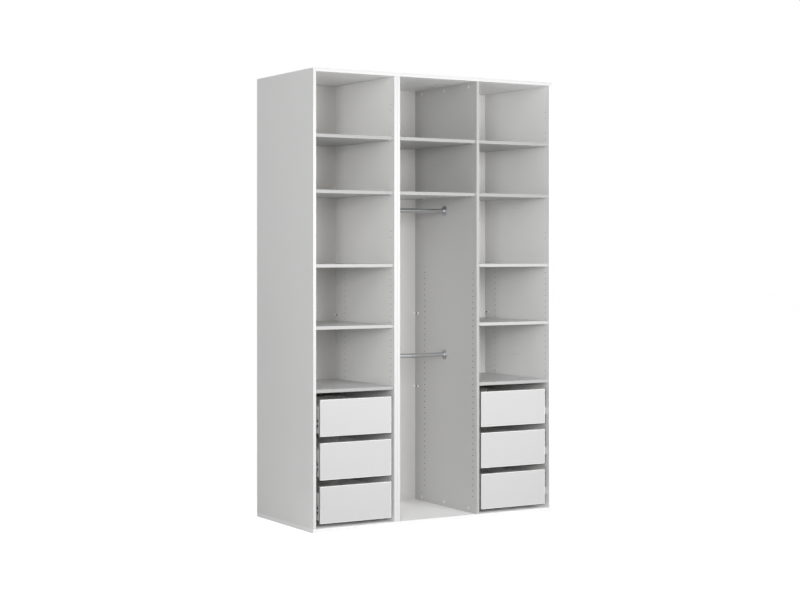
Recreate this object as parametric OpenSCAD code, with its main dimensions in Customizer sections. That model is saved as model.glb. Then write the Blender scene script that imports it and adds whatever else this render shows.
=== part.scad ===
// Open-front wardrobe: a 500 mm and a 1000 mm carcass side by side, fitted with
// adjustable shelves, two hanging rails and two stacks of three drawers on ball slides.
// The origin is on the floor at the middle of the footprint. The open front faces -Y.

/* [Cabinet] */
// Outside width of the left unit
left_unit_w = 500; // [440:1:620]
// Outside width of the wide unit
wide_unit_w = 1000; // [940:1:1200]
// Clear width of the right bay, which holds the second stack of drawers
right_bay_w = 464; // [400:1:480]
// Height of both units
unit_h = 2388; // [2300:1:2600]
// Depth of both units
unit_d = 660; // [640:1:720]

/* [Panels] */
// Thickness of the sides, tops and divider
panel_t = 18; // [17:0.5:22]
// Thickness of the two bottoms
bottom_t = 22; // [18:0.5:28]
// Thickness of the back panels
back_t = 8; // [6:0.5:10]
// Distance from the rear edges to the back panels
back_inset = 8; // [5:0.5:14]
// How far the back panels reach into their grooves
groove_d = 8; // [5:0.5:9]
// Radius of the edge banding on each front edge
edge_r = 1; // [0.5:0.1:2]

/* [Line drilling] */
// Distance between two holes of a row
hole_pitch = 32; // [31:0.5:33]
// Diameter of the holes
hole_d = 5; // [4.8:0.1:5.5]
// Board left behind a blind hole
hole_skin = 6; // [4:0.5:8]
// Height of the lowest hole above the floor
first_hole_z = 112; // [100:1:130]
// Number of holes in a row
hole_count = 40; // [30:1:44]
// Distance from the front edge to the front row
front_row = 37; // [37:1:50]
// Distance from the front edge to the rear row
rear_row = 540; // [480:1:550]
// Lower hole of the upper hinge plate, counted in the row
upper_hinge_row = 65; // [62:1:66]
// Lower hole of the lower hinge plate, counted in the row
lower_hinge_row = 44; // [44:1:48]
// Upper hole of the spare pair, measured down from the top
spare_pair_drop = 281; // [240:1:300]

/* [Shelves] */
// Thickness of a shelf
shelf_t = 18; // [16:0.5:22]
// Distance from the front edges to a shelf
shelf_setback = 10; // [4:1:25]
// Gap between a shelf and the back panel
shelf_rear_gap = 2; // [1:0.5:10]
// Gap at each end of a shelf
shelf_play = 1.2; // [1.1:0.1:2]
// Hole that carries the highest shelf, counted in the row
shelf_1_row = 60; // [57:1:61]
// Hole that carries the second shelf
shelf_2_row = 51; // [49:1:54]
// Hole that carries the third shelf
shelf_3_row = 39; // [35:1:42]
// Hole that carries the fourth shelf
shelf_4_row = 29; // [26:1:32]
// Holes from the slides of the top drawer to the pins of the shelf over it
drawer_shelf_rows = 5; // [5:1:7]
// Depth of the notches that seat the shelf over the drawers on its pins
pin_notch_d = 5.5; // [4:0.5:6]

/* [Shelf pins] */
// Length of pin under a shelf
pin_l = 9; // [6:0.5:12]
// Diameter of the collar of a pin
pin_collar_d = 8; // [7:0.5:10]
// Thickness of the collar of a pin
pin_collar_t = 1; // [0.6:0.1:1]

/* [Drawers] */
// Height of a drawer front
front_h = 190; // [170:1:200]
// Thickness of a drawer front
front_t = 18; // [16:0.5:20]
// Distance from the carcass front to a drawer front
front_setback = 4; // [1:0.5:7]
// Holes from one drawer to the next
drawer_rows = 7; // [7:1:8]
// Height of the slides above the lower edge of a drawer front
slide_rise = 68; // [60:1:72]
// Height of a drawer side
box_h = 140; // [120:1:150]
// Height of a drawer side above the lower edge of its front
box_rise = 15.5; // [10:0.5:20]
// Length of a drawer side
box_l = 555; // [540:1:570]
// Thickness of the drawer sides and back
box_t = 12; // [11:0.5:15]
// Thickness of a drawer bottom
box_bottom_t = 5; // [3:0.5:8]
// Height of a drawer bottom above the lower edge of the sides
box_bottom_rise = 10; // [8:0.5:14]
// How far a drawer bottom reaches into its grooves
box_groove_d = 6; // [4:0.5:7]

/* [Ball slides] */
// Thickness of a slide
slide_t = 12.7; // [12.3:0.1:13.5]
// Height of a slide
slide_h = 45; // [42:0.5:48]
// Length of a slide
slide_l = 550; // [530:1:555]
// Distance from the front edges to the slides
slide_setback = 26; // [26:0.5:28]
// Thickness of the steel
steel_t = 1; // [0.8:0.1:1.1]
// Diameter of a ball
ball_d = 3.2; // [2.8:0.1:3.4]
// Gap between the moving parts of a slide
slide_gap = 0.3; // [0.2:0.05:0.35]
// Balls in one cage
cage_balls = 6; // [4:1:10]
// Distance from one ball to the next
ball_pitch = 24; // [12:1:28]
// Width of the batten that packs a slide out past the hinges
spacer_t = 14; // [8:0.5:16]
// Width of the strip that packs out the slide at the other side
packer_t = 3; // [2:0.5:4]
// Height of that batten
spacer_h = 40; // [30:1:50]

/* [Hanging rails] */
// Outside diameter of a rail
rail_d = 25; // [20:0.5:28]
// Wall of the rail tube
rail_wall = 1.5; // [1:0.1:2.5]
// Distance from the second shelf down to the middle of the upper rail
upper_rail_drop = 73; // [60:1:160]
// Height of the lower rail above the floor
lower_rail_z = 871; // [780:1:960]
// Distance from the front edges to the rails
rail_setback = 330; // [250:1:400]
// Diameter of the flange of a rail bracket
flange_d = 56; // [54:1:64]
// Thickness of the flange of a rail bracket
flange_t = 3.5; // [3:0.5:5]
// Length of the cup that holds the rail
cup_l = 14; // [10:1:20]
// Wall of the cup
cup_wall = 3.7; // [3:0.1:4]

/* [Fittings] */
// Distance from the end of an upright to its cam fittings
cam_setback = 24; // [22:0.5:30]
// Diameter of a cam
cam_d = 15; // [13:0.5:18]
// How far the cap over a cam reaches past it
cam_cap_rim = 1.5; // [0.5:0.5:3]
// Thickness of the cap over a cam
cam_cap_t = 1; // [0.6:0.1:1.5]
// Diameter of the shank of a cam bolt
cam_bolt_d = 7; // [6:0.5:8]
// Length of a cam bolt in the top or bottom
cam_thread_l = 11; // [8:0.5:12]
// Diameter of a wooden dowel
dowel_d = 8; // [6:0.5:10]
// Length of a dowel in an upright
dowel_l = 22; // [18:1:30]
// Length of a dowel in the top or bottom
dowel_reach = 12; // [8:0.5:13]
// Distance from the shelf over the drawers down to the lower back clips
lower_clip_drop = 41; // [30:1:60]
// Height of the upper back clips above the fourth shelf
upper_clip_rise = 33; // [20:1:80]
// Diameter of the sleeve that bolts the units together
join_d = 8; // [7:0.5:10]
// Diameter of its head
join_head_d = 12; // [11:0.5:14]

/* [Clearances] */
// Gap round a panel or a rail in its groove or cup
fit = 0.2; // [0.1:0.05:0.3]
// Gap round a screw, pin, cam or dowel in its hole
bore_play = 0.1; // [0.05:0.05:0.2]
// Gap where two pieces of one group are screwed or clipped together
seam = 0.1; // [0.05:0.05:0.2]

/* [Hidden] */
$fn = 32;
drawer_count = 3;
total_w = left_unit_w + wide_unit_w;
x_left = -total_w / 2;
x_mid = x_left + left_unit_w;
x_right = total_w / 2;
divider_x = x_right - 2 * panel_t - right_bay_w;
left_bay = [x_left + panel_t, x_mid - panel_t];
hanging_bay = [x_mid + panel_t, divider_x];
right_bay = [divider_x + panel_t, x_right - panel_t];
floor_z = bottom_t;
ceiling_z = unit_h - panel_t;
back_y = unit_d - back_inset - back_t;
blind_l = panel_t - hole_skin;
half_t = panel_t / 2;
rows = [front_row, rear_row];
over = 1; // How far a cut runs past a face
bevel = 1;

// The uprights as left face and the side from which the cams go in
left_outer = [x_left, 1];
left_inner = [x_mid - panel_t, -1];
wide_inner = [x_mid, 1];
divider = [divider_x, -1];
wide_outer = [x_right - panel_t, -1];
uprights = [left_outer, left_inner, wide_inner, divider, wide_outer];

// Distances from the front edge to the fittings in the end of an upright
cam_places = [81, 333, 573];
dowel_places = [150, 490];
cam_skin = 5;
cam_depth = panel_t - cam_skin;
cam_neck_l = 3;
cam_head_l = 4;

// Length of a pin or plug in a board that may hold another one from its far side
root_gap = 0.5;
root_l = half_t - root_gap;

// Holes of the rows that carry shelves, from the top down, and the hinge and spare holes over them
drawer_shelf_row = (drawer_count - 1) * drawer_rows + drawer_shelf_rows;
pin_rows = [shelf_1_row, shelf_2_row, shelf_3_row, shelf_4_row, drawer_shelf_row];
bay_shelves = len(pin_rows);
hanging_shelves = 2;
lone_pin_rows = [for (k = pin_rows) if (k >= hole_count) k];
hinge_rows = [upper_hinge_row, upper_hinge_row + 1, lower_hinge_row, lower_hinge_row + 1];
spare_zs = [unit_h - spare_pair_drop, unit_h - spare_pair_drop - hole_pitch];

// Spare pairs at half depth in the right side
mid_pair_zs = [1697, 860];
mid_pair_setbacks = [rail_setback - hole_pitch / 2, rail_setback + hole_pitch / 2];

// Slide profile: the centres of the outer and inner ball tracks and their rings
track_in = ball_d / 2 + slide_gap;
track_out = track_in + steel_t;
track_lip = 10; // Angle by which a rolled edge stops short of or runs past half a turn
web_gap = slide_gap + bore_play;
outer_track = [track_out, slide_h / 2 - track_out];
inner_track = [slide_t - steel_t - web_gap - track_out, outer_track[1] - track_in - track_out];
middle_web = steel_t + web_gap;
bumper_l = 9;
bumper_t = 2;
bumper_z = 10;
lug_z = bumper_z - 1;
lug_x = middle_web + steel_t + 2 * slide_gap;

// Heights of the hanging rails and back clips
upper_rail_z = shelf_under(2) - upper_rail_drop;
clip_zs = [shelf_under(bay_shelves) - lower_clip_drop, shelf_under(4) + shelf_t + upper_clip_rise];

// Screws of the slides and rail brackets
screw_d = 4;
screw_head_d = 7;
screw_head_t = 1.6;
screw_l = 10;
box_screw_l = 9;
cup_bore_r = rail_d / 2 + fit;
cup_r = cup_bore_r + cup_wall;
bracket_screw_r = (flange_d / 2 + cup_r) / 2;
rail_seat = 3;
slide_screw_inset = 60;
slide_screw_places = [slide_setback + slide_screw_inset, slide_setback + slide_l - slide_screw_inset];

// Places where the two units are bolted together, as row and hole number
join_places = [[front_row, 3], [rear_row, 3], [rear_row, shelf_2_row + 1]];
join_head_t = 1.5;
join_wall = 1.5;
join_end = 4;

// Back clips: the boss on the upright and the claw on the back panel
clip_boss_d = 15;
clip_boss_t = 2;
clip_boss_y = 31;
clip_plug_d = 10;
clip_claw = [16, 6, 10];
clip_strap = [1.5, 6];

board_white = [0.93, 0.93, 0.93];
board_grey = [0.86, 0.86, 0.86];
zinc = [0.72, 0.73, 0.74];
chrome = [0.8, 0.81, 0.82];
plastic_white = [0.95, 0.95, 0.94];
beech = [0.83, 0.7, 0.52];

// Turns a distance from the front edge into a place along Y
function y_at(setback) = setback - unit_d / 2;
// Height of hole number k of the rows
function row_z(k) = first_hole_z + k * hole_pitch;
// The bay, and the width of the batten at one side of it, of drawer stack "left" or "right"
function stack_bay(stack) = stack == "left" ? left_bay : right_bay;
function batten_w(stack, side) = stack == side ? spacer_t : packer_t;
// The faces that the slides of a stack are screwed to
function slide_x(stack, side) = side == "left"
    ? stack_bay(stack)[0] + batten_w(stack, side)
    : stack_bay(stack)[1] - batten_w(stack, side);
// The outside faces of a drawer
function drawer_x(stack) = [slide_x(stack, "left") + slide_t, slide_x(stack, "right") - slide_t];
// Height of the slides of drawer i, counted from the top
function slide_z(i) = row_z(drawer_rows * (drawer_count - i));
// Lower edge of the front of drawer i
function front_z(i) = slide_z(i) - slide_rise;
// Underside of a shelf that rests on its pins, and of the one that is notched over them
function shelf_z(k) = row_z(k) + hole_d / 2 - bore_play;
function shelf_under(i) = i == bay_shelves
    ? shelf_z(drawer_shelf_row) - pin_notch_d
    : shelf_z(pin_rows[i - 1]);

// Cross-section of a board with its front edge banded: t across X, d along Y
module board_section(t, d) {
    translate([0, edge_r])
        square([t, d - edge_r]);
    translate([edge_r, 0])
        square([t - 2 * edge_r, edge_r]);
    for (x = [edge_r, t - edge_r])
        translate([x, edge_r])
            circle(edge_r);
}

// Upright board from its left face, over the whole inside height
module upright_board(x, d) {
    translate([x, y_at(0), floor_z])
        linear_extrude(ceiling_z - floor_z)
            board_section(panel_t, d);
}

// Board that lies between two places along X, with its front edge at a setback
module lying_board(x0, x1, setback, d, z, t) {
    translate([x0, y_at(setback), z + t])
        rotate([0, 90, 0])
            linear_extrude(x1 - x0)
                board_section(t, d);
}

// Plain block between two corners
module block(from, to) {
    translate(from)
        cube(to - from);
}

// Hole along X that starts in a face and goes in direction dir
module drill_x(x, setback, z, dir, d, l) {
    translate([x - dir * over, y_at(setback), z])
        rotate([0, dir * 90, 0])
            cylinder(d = d, h = l + over);
}

// Places its children at both ends of an upright, with +Z out of the end and +X to the cam side
module at_upright_ends(upright, places, ends = [-1, 1]) {
    for (end = ends)
        for (s = places)
            translate([upright[0] + half_t, y_at(s), end > 0 ? ceiling_z : floor_z])
                mirror([0, 0, end > 0 ? 0 : 1])
                    mirror([upright[1] > 0 ? 0 : 1, 0, 0])
                        children();
}

// Holes that a cam fitting and a dowel need in the upright
module cam_bore() {
    translate([half_t - cam_depth, 0, -cam_setback])
        rotate([0, 90, 0])
            cylinder(d = cam_d + 2 * bore_play, h = cam_depth + over);
    translate([0, 0, -cam_setback])
        cylinder(d = cam_bolt_d + 4 * bore_play, h = cam_setback + over);
}

module dowel_bore() {
    translate([0, 0, -dowel_l - fit])
        cylinder(d = dowel_d + 2 * bore_play, h = dowel_l + over);
}

// Holes that the fittings of some uprights need in the top (end 1) or bottom (end -1)
module fitting_holes(list, end) {
    for (upright = list) {
        at_upright_ends(upright, cam_places, [end])
            translate([0, 0, -over])
                cylinder(d = hole_d, h = cam_thread_l + over + fit);
        at_upright_ends(upright, dowel_places, [end])
            translate([0, 0, -over])
                cylinder(d = dowel_d + 2 * bore_play, h = dowel_reach + over + fit);
    }
}

// Rows of holes for shelf pins and slides, drilled from a face in direction dir
module row_holes(x, dir, l) {
    for (s = rows)
        for (z = [for (k = [0:hole_count - 1]) row_z(k), for (k = lone_pin_rows) row_z(k)])
            drill_x(x, s, z, dir, hole_d, l);
    for (z = spare_zs)
        drill_x(x, front_row, z, dir, hole_d, l);
}

// Holes for the plugs of the back clips in one face
module clip_holes(x, dir) {
    for (z = clip_zs)
        drill_x(x, back_y - clip_boss_y, z, dir, clip_plug_d + 2 * bore_play, root_l + bore_play);
}

// Pilot holes of the rail brackets in one face
module bracket_holes(x, dir) {
    for (z = [upper_rail_z, lower_rail_z])
        for (a = [90, 210, 330])
            drill_x(x, rail_setback + bracket_screw_r * cos(a), z + bracket_screw_r * sin(a), dir,
                screw_d + 2 * bore_play, screw_l + over);
}

// Side panel with its groove, rows, hinge-plate holes and fittings
module side_panel(upright) {
    inner = upright[1];
    face = inner > 0 ? upright[0] + panel_t : upright[0];
    groove_x = inner > 0 ? face - groove_d - fit : face - over;
    difference() {
        upright_board(upright[0], unit_d);
        block([groove_x, y_at(back_y - fit), floor_z - over],
            [groove_x + groove_d + fit + over, y_at(back_y + back_t + fit), ceiling_z + over]);
        row_holes(face, -inner, blind_l);
        for (k = hinge_rows)
            drill_x(face, front_row, row_z(k), -inner, hole_d, blind_l);
        clip_holes(face, -inner);
        at_upright_ends(upright, cam_places)
            cam_bore();
        at_upright_ends(upright, dowel_places)
            dowel_bore();
        children();
    }
}

// Holes through a side panel for the bolts that join the units
module join_holes(x) {
    for (p = join_places)
        drill_x(x, p[0], row_z(p[1]), 1, join_d + 2 * bore_play, panel_t + over);
}

// Top or bottom of a unit, with its groove between the side panels and the fitting holes
module end_board(x0, x1, z, t, end, list) {
    groove_z = end > 0 ? z - over : z + t - groove_d - fit;
    difference() {
        lying_board(x0, x1, 0, unit_d, z, t);
        block([x0 + panel_t - groove_d - fit, y_at(back_y - fit), groove_z],
            [x1 - panel_t + groove_d + fit, y_at(back_y + back_t + fit), groove_z + groove_d + fit + over]);
        fitting_holes(list, end);
    }
}

// Back panel in its grooves
module back_board(x0, x1) {
    color(board_white)
        block([x0, y_at(back_y), floor_z - groove_d], [x1, y_at(back_y + back_t), ceiling_z + groove_d]);
}

module left_unit_left_side() {
    color(board_white)
        side_panel(left_outer);
}

module left_unit_right_side() {
    color(board_white)
        side_panel(left_inner)
            join_holes(left_inner[0]);
}

module left_unit_top() {
    color(board_white)
        end_board(x_left, x_mid, ceiling_z, panel_t, 1, [left_outer, left_inner]);
}

module left_unit_bottom() {
    color(board_white)
        end_board(x_left, x_mid, 0, bottom_t, -1, [left_outer, left_inner]);
}

module left_unit_back() {
    back_board(left_bay[0] - groove_d, left_bay[1] + groove_d);
}

module wide_unit_left_side() {
    color(board_white)
        side_panel(wide_inner) {
            join_holes(wide_inner[0]);
            bracket_holes(hanging_bay[0], -1);
        }
}

// The divider stops at the back panels, and its rows are drilled right through
module wide_unit_divider() {
    color(board_white)
        difference() {
            upright_board(divider_x, back_y);
            row_holes(divider_x, 1, panel_t + over);
            clip_holes(divider_x, 1);
            clip_holes(divider_x + panel_t, -1);
            bracket_holes(divider_x, 1);
            at_upright_ends(divider, cam_places)
                cam_bore();
            at_upright_ends(divider, dowel_places)
                dowel_bore();
        }
}

module wide_unit_right_side() {
    color(board_white)
        side_panel(wide_outer)
            for (z = mid_pair_zs)
                for (s = mid_pair_setbacks)
                    drill_x(right_bay[1], s, z, 1, hole_d, blind_l);
}

module wide_unit_top() {
    color(board_white)
        end_board(x_mid, x_right, ceiling_z, panel_t, 1, [wide_inner, divider, wide_outer]);
}

module wide_unit_bottom() {
    color(board_white)
        end_board(x_mid, x_right, 0, bottom_t, -1, [wide_inner, divider, wide_outer]);
}

module wide_unit_back_left() {
    back_board(hanging_bay[0] - groove_d, divider_x + half_t - fit);
}

module wide_unit_back_right() {
    back_board(divider_x + half_t + fit, right_bay[1] + groove_d);
}

// Shelf i of a bay, counted from the top
module shelf(bay, i) {
    z = shelf_under(i);
    color(board_white)
        difference() {
            lying_board(bay[0] + shelf_play, bay[1] - shelf_play, shelf_setback,
                back_y - shelf_rear_gap - shelf_setback, z, shelf_t);
            if (i == bay_shelves)
                for (s = rows)
                    for (x = [bay[0], bay[1] - pin_l - over])
                        block([x, y_at(s) - hole_d / 2, z - over],
                            [x + pin_l + over, y_at(s) + hole_d / 2, z + pin_notch_d]);
        }
}

// Drawer front with the groove for the drawer bottom
module drawer_front(stack, i) {
    x = drawer_x(stack);
    z = front_z(i);
    groove_z = z + box_rise + box_bottom_rise - fit;
    rear = front_setback + front_t;
    color(board_grey)
        difference() {
            lying_board(x[0], x[1], front_setback, front_t, z, front_h);
            block([x[0] + box_t - box_groove_d - fit, y_at(rear - box_groove_d - fit), groove_z],
                [x[1] - box_t + box_groove_d + fit, y_at(rear + over), groove_z + box_bottom_t + 2 * fit]);
        }
}

// Drawer sides and back, and the bottom in its grooves, as four pieces
module drawer_box(stack, i) {
    x = drawer_x(stack);
    y0 = front_setback + front_t;
    y1 = y0 + box_l;
    z = front_z(i) + box_rise;
    groove_z = z + box_bottom_rise;
    color(board_grey)
        difference() {
            union() {
                block([x[0], y_at(y0), z], [x[0] + box_t, y_at(y1), z + box_h]);
                block([x[1] - box_t, y_at(y0), z], [x[1], y_at(y1), z + box_h]);
                block([x[0] + box_t + seam, y_at(y1 - box_t), z],
                    [x[1] - box_t - seam, y_at(y1), z + box_h]);
            }
            block([x[0] + box_t - box_groove_d - fit, y_at(y0 - over), groove_z - fit],
                [x[1] - box_t + box_groove_d + fit, y_at(y1 - box_t + box_groove_d + fit),
                    groove_z + box_bottom_t + fit]);
            for (s = slide_screw_places)
                for (side = [-1, 1])
                    drill_x(side < 0 ? x[0] : x[1], s, slide_z(i), -side, screw_d + 2 * bore_play,
                        box_screw_l + over);
        }
    color(board_grey)
        block([x[0] + box_t - box_groove_d, y_at(y0 - box_groove_d), groove_z],
            [x[1] - box_t + box_groove_d, y_at(y1 - box_t + box_groove_d), groove_z + box_bottom_t]);
}

// Part of a ring of sheet steel round a ball track, from angle a0 to a1
module track_ring(centre, a0, a1) {
    reach = 2 * track_out;
    steps = 6;
    translate(centre)
        intersection() {
            difference() {
                circle(track_out);
                circle(track_in);
            }
            polygon([
                [0, 0], for (n = [0:steps]) let (a = a0 + n * (a1 - a0) / steps) reach * [cos(a), sin(a)]
            ]);
        }
}

// Repeats a half profile above and below the middle of a slide
module both_halves() {
    children();
    mirror([0, 1])
        children();
}

// Cabinet member: a web with rolled edges over the outer balls
module cabinet_profile() {
    both_halves() {
        square([steel_t, outer_track[1]]);
        track_ring(outer_track, -track_lip, 180);
    }
}

// Middle member: its folded edges run under the outer balls and over the inner ones
module middle_profile() {
    cup = acos((track_out - middle_web) / track_out);
    web_top = outer_track[1] - track_out * sin(cup);
    both_halves() {
        translate([middle_web, 0])
            square([steel_t, web_top]);
        track_ring(outer_track, 180 + cup, 360 - cup);
        translate([track_out, outer_track[1] - track_out])
            square([inner_track[0] - track_out, steel_t]);
        track_ring(inner_track, -track_lip, 90);
    }
}

// Drawer member: a web with arms that run under the inner balls
module drawer_profile() {
    both_halves() {
        translate([slide_t - steel_t, 0])
            square([steel_t, inner_track[1] - track_in]);
        translate([inner_track[0], inner_track[1] - track_out])
            square([slide_t - inner_track[0], steel_t]);
        track_ring(inner_track, 180 + track_lip, 270);
    }
}

// Extrudes a slide profile along Y, from a setback over a length
module along_slide(setback, l) {
    translate([0, y_at(setback + l), 0])
        rotate([90, 0, 0])
            linear_extrude(l)
                children();
}

// Ball cage: a thin bar that carries a row of balls
module ball_cage(track) {
    middle = slide_setback + slide_l / 2;
    run = (cage_balls - 1) * ball_pitch;
    for (side = [-1, 1])
        translate([track[0], y_at(middle), side * track[1]]) {
            rotate([90, 0, 0])
                cylinder(d = ball_d / 2, h = run + ball_d, center = true);
            for (n = [0:cage_balls - 1])
                translate([0, n * ball_pitch - run / 2, 0])
                    sphere(d = ball_d);
        }
}

// Puts one slide on each side of a drawer, with X from the cabinet to the drawer
module at_slides(stack, i) {
    translate([slide_x(stack, "left"), 0, slide_z(i)])
        children();
    translate([slide_x(stack, "right"), 0, slide_z(i)])
        mirror([1, 0, 0])
            children();
}

// Screw holes in the web of a slide
module web_holes(x, places, d) {
    for (s = places)
        translate([x - over, y_at(s), 0])
            rotate([0, 90, 0])
                cylinder(d = d, h = steel_t + 2 * over);
}

// Black stops at the front of a moving member, above and below its middle
module bumpers(x0, x1, top) {
    for (side = [-1, 1])
        mirror([0, 0, side < 0 ? 1 : 0])
            block([x0, y_at(slide_setback), bumper_z], [x1, y_at(slide_setback + bumper_l), top]);
}

// Cabinet members with their outer ball cages and the screws that hold them in the rows
module cabinet_slides(stack) {
    color(zinc)
        for (i = [1:drawer_count]) {
            at_slides(stack, i) {
                difference() {
                    along_slide(slide_setback, slide_l)
                        cabinet_profile();
                    web_holes(0, rows, screw_d + 2 * bore_play);
                }
                ball_cage(outer_track);
            }
            for (side = ["left", "right"])
                cabinet_screws(stack, i, side);
        }
}

// Flush screws through the cabinet member, and its batten, into the holes of the rows
module cabinet_screws(stack, i, side) {
    dir = side == "left" ? 1 : -1;
    l = steel_t + batten_w(stack, side) + screw_l;
    for (s = rows)
        translate([slide_x(stack, side) + dir * steel_t, y_at(s), slide_z(i)])
            rotate([0, -dir * 90, 0])
                cylinder(d = screw_d, h = l);
}

// Middle members with their inner ball cages and front stops
module middle_slides(stack, i) {
    color(zinc)
        at_slides(stack, i) {
            along_slide(slide_setback, slide_l)
                middle_profile();
            ball_cage(inner_track);
            bumpers(middle_web + steel_t + seam, middle_web + steel_t + bumper_t,
                inner_track[1] + track_in - seam);
        }
}

// Drawer members with a bent lug at the front, their screws and front stops
module box_slides(stack, i) {
    web_x = slide_t - steel_t;
    color(zinc)
        at_slides(stack, i) {
            difference() {
                along_slide(slide_setback, slide_l)
                    drawer_profile();
                web_holes(web_x, slide_screw_places, screw_d + 2 * bore_play);
            }
            block([lug_x, y_at(slide_setback), -lug_z],
                [web_x + steel_t / 2, y_at(slide_setback) + steel_t, lug_z]);
            for (s = slide_screw_places)
                translate([web_x, y_at(s), 0])
                    rotate([0, 90, 0]) {
                        translate([0, 0, -seam - screw_head_t])
                            cylinder(d = screw_head_d, h = screw_head_t);
                        translate([0, 0, -seam])
                            cylinder(d = screw_d, h = seam + steel_t + box_screw_l);
                    }
            bumpers(inner_track[0] - track_in, web_x - seam, inner_track[1] - track_out - seam);
        }
}

// Battens that pack the slides out, past the hinges on the outer side of each stack
module slide_battens() {
    color(board_white)
        for (stack = ["left", "right"])
            for (side = ["left", "right"])
                for (i = [1:drawer_count]) {
                    w = batten_w(stack, side);
                    x = side == "left" ? stack_bay(stack)[0] : stack_bay(stack)[1] - w;
                    difference() {
                        block([x, y_at(slide_setback), slide_z(i) - spacer_h / 2],
                            [x + w, y_at(slide_setback + slide_l), slide_z(i) + spacer_h / 2]);
                        for (s = rows)
                            drill_x(x, s, slide_z(i), 1, screw_d + 2 * bore_play, w + over);
                    }
                }
}

// Hanging rail: a tube between its two brackets
module hanging_rail(z) {
    inset = rail_seat + fit;
    color(chrome)
        translate([hanging_bay[0] + inset, y_at(rail_setback), z])
            rotate([0, 90, 0])
                difference() {
                    cylinder(d = rail_d, h = hanging_bay[1] - hanging_bay[0] - 2 * inset, $fn = 64);
                    translate([0, 0, -over])
                        cylinder(d = rail_d - 2 * rail_wall, h = hanging_bay[1] - hanging_bay[0], $fn = 64);
                }
}

module upper_hanging_rail() {
    hanging_rail(upper_rail_z);
}

module lower_hanging_rail() {
    hanging_rail(lower_rail_z);
}

// Rail bracket: a round flange with a cup, turned about the rail, and its three screws
module rail_bracket() {
    difference() {
        rotate_extrude($fn = 64)
            polygon([
                [0, 0], [flange_d / 2, 0], [flange_d / 2, flange_t - bevel], [flange_d / 2 - bevel, flange_t],
                [cup_r + bevel, flange_t], [cup_r, flange_t + bevel], [cup_r, cup_l - bevel],
                [cup_r - bevel, cup_l], [cup_bore_r, cup_l], [cup_bore_r, rail_seat], [0, rail_seat]
            ]);
        at_bracket_screws()
            translate([0, 0, -over])
                cylinder(d = screw_d + 2 * bore_play, h = flange_t + 2 * over);
    }
    at_bracket_screws() {
        translate([0, 0, -screw_l])
            cylinder(d = screw_d, h = screw_l + flange_t + seam);
        translate([0, 0, flange_t + seam])
            cylinder(d1 = screw_head_d, d2 = screw_head_d - 2 * bevel, h = screw_head_t);
    }
}

module at_bracket_screws() {
    for (a = [0, 120, 240])
        rotate([0, 0, a])
            translate([-bracket_screw_r, 0, 0])
                children();
}

module rail_brackets() {
    color(chrome)
        for (z = [upper_rail_z, lower_rail_z]) {
            translate([hanging_bay[0], y_at(rail_setback), z])
                rotate([0, 90, 0])
                    rail_bracket();
            translate([hanging_bay[1], y_at(rail_setback), z])
                mirror([1, 0, 0])
                    rotate([0, 90, 0])
                        rail_bracket();
        }
}

// Shelf pin along +X, with its collar on the face of the board
module shelf_pin() {
    rotate([0, 90, 0]) {
        translate([0, 0, -root_l])
            cylinder(d = hole_d - 2 * bore_play, h = root_l + pin_l);
        cylinder(d = pin_collar_d, h = pin_collar_t);
    }
}

// Pin without a collar, for the notched shelf
module notch_pin() {
    translate([-root_l, 0, 0])
        rotate([0, 90, 0])
            cylinder(d = hole_d - 2 * bore_play, h = root_l + pin_l);
}

module pins_of_shelf(bay, i) {
    for (s = rows)
        for (end = [0, 1])
            translate([bay[end], y_at(s), row_z(pin_rows[i - 1])])
                mirror([end, 0, 0])
                    if (i == bay_shelves)
                        notch_pin();
                    else
                        shelf_pin();
}

module shelf_pins() {
    color(zinc) {
        for (bay = [left_bay, right_bay])
            for (i = [1:bay_shelves])
                pins_of_shelf(bay, i);
        for (i = [1:hanging_shelves])
            pins_of_shelf(hanging_bay, i);
    }
}

// Cam and its bolt, in the place of cam_bore
module cam_fitting() {
    translate([0, 0, -cam_setback])
        difference() {
            translate([half_t - cam_depth + bore_play, 0, 0])
                rotate([0, 90, 0])
                    cylinder(d = cam_d, h = cam_depth - bore_play);
            translate([0, 0, -cam_head_l / 2 - over])
                cylinder(d = cam_bolt_d + 2 * bore_play, h = cam_d);
        }
    translate([0, 0, -cam_setback - cam_head_l / 2]) {
        cylinder(d = cam_bolt_d, h = cam_head_l);
        cylinder(d = cam_bolt_d / 2, h = cam_head_l + cam_neck_l);
        translate([0, 0, cam_head_l + cam_neck_l])
            cylinder(d = cam_bolt_d, h = cam_setback - cam_head_l / 2 - cam_neck_l);
    }
    cylinder(d = hole_d - 2 * bore_play, h = cam_thread_l);
}

module cam_fittings() {
    color(zinc)
        for (upright = uprights)
            at_upright_ends(upright, cam_places)
                cam_fitting();
}

module cam_caps() {
    color(plastic_white)
        for (upright = uprights)
            at_upright_ends(upright, cam_places)
                translate([half_t, 0, -cam_setback])
                    rotate([0, 90, 0])
                        cylinder(d = cam_d + 2 * cam_cap_rim, h = cam_cap_t);
}

module wooden_dowels() {
    color(beech)
        for (upright = uprights)
            at_upright_ends(upright, dowel_places)
                translate([0, 0, -dowel_l])
                    cylinder(d = dowel_d, h = dowel_l + dowel_reach);
}

// Back clip: a boss plugged into the upright, with a claw that holds the back panel forward
module back_clip() {
    translate([0, -clip_boss_y, 0])
        rotate([0, 90, 0]) {
            cylinder(d = clip_boss_d, h = clip_boss_t);
            translate([0, 0, -root_l])
                cylinder(d = clip_plug_d, h = root_l + clip_boss_t);
        }
    block([0, -clip_boss_y, -clip_strap[1] / 2], [clip_strap[0], 0, clip_strap[1] / 2]);
    block([0, -clip_claw[1], -clip_claw[2] / 2], [clip_claw[0], 0, clip_claw[2] / 2]);
}

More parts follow.
